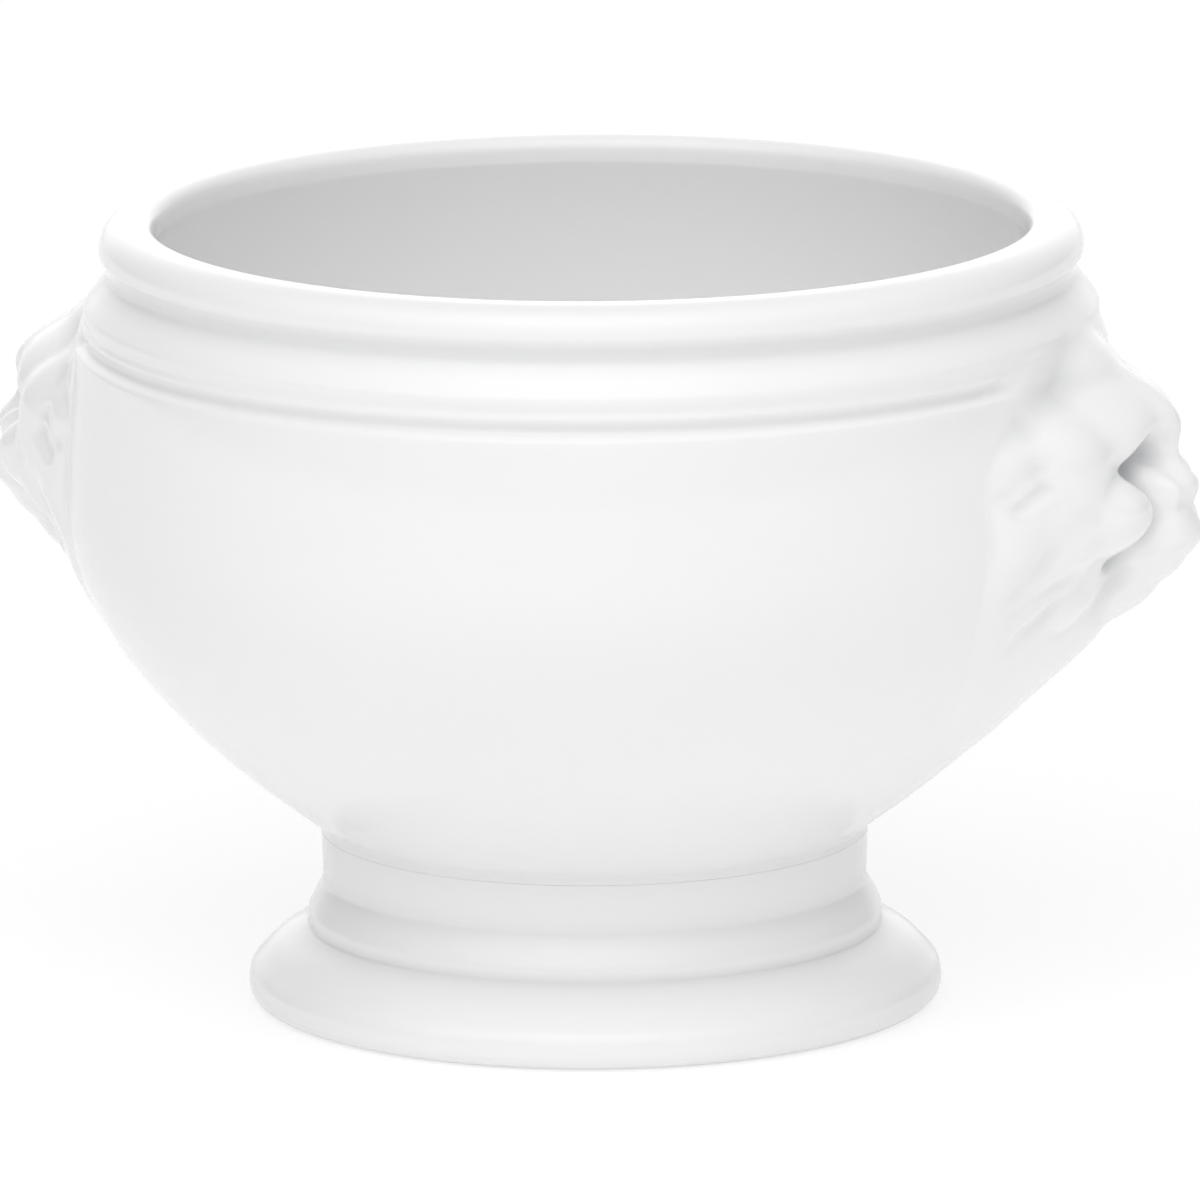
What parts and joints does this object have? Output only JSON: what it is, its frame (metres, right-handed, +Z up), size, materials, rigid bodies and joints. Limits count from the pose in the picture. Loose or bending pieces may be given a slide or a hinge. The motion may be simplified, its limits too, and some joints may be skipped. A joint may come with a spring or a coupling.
{
  "type": "footed soup bowl",
  "caption": "Footed white porcelain soup bowl with a rolled lip, a banded collar, a hollow turned foot and a lion's head lug on each side.",
  "frame": {"origin": "middle of the flat ring that the foot stands on", "axes": "+Z up the axis that the bowl is turned about, +X through the nose of the right lion's head"},
  "size_m": [0.1528, 0.1276, 0.0961],
  "materials": {
    "white_glaze": "gloss",
    "fired_slip": "matte"
  },
  "bodies": {
    "root": {"bowl_body": "white_glaze", "pedestal_foot": "white_glaze", "right_lion_head": "white_glaze", "left_lion_head": "white_glaze", "foot_slip_joint": "fired_slip", "right_head_slip_joint": "fired_slip", "left_head_slip_joint": "fired_slip"}
  },
  "joints": []
}
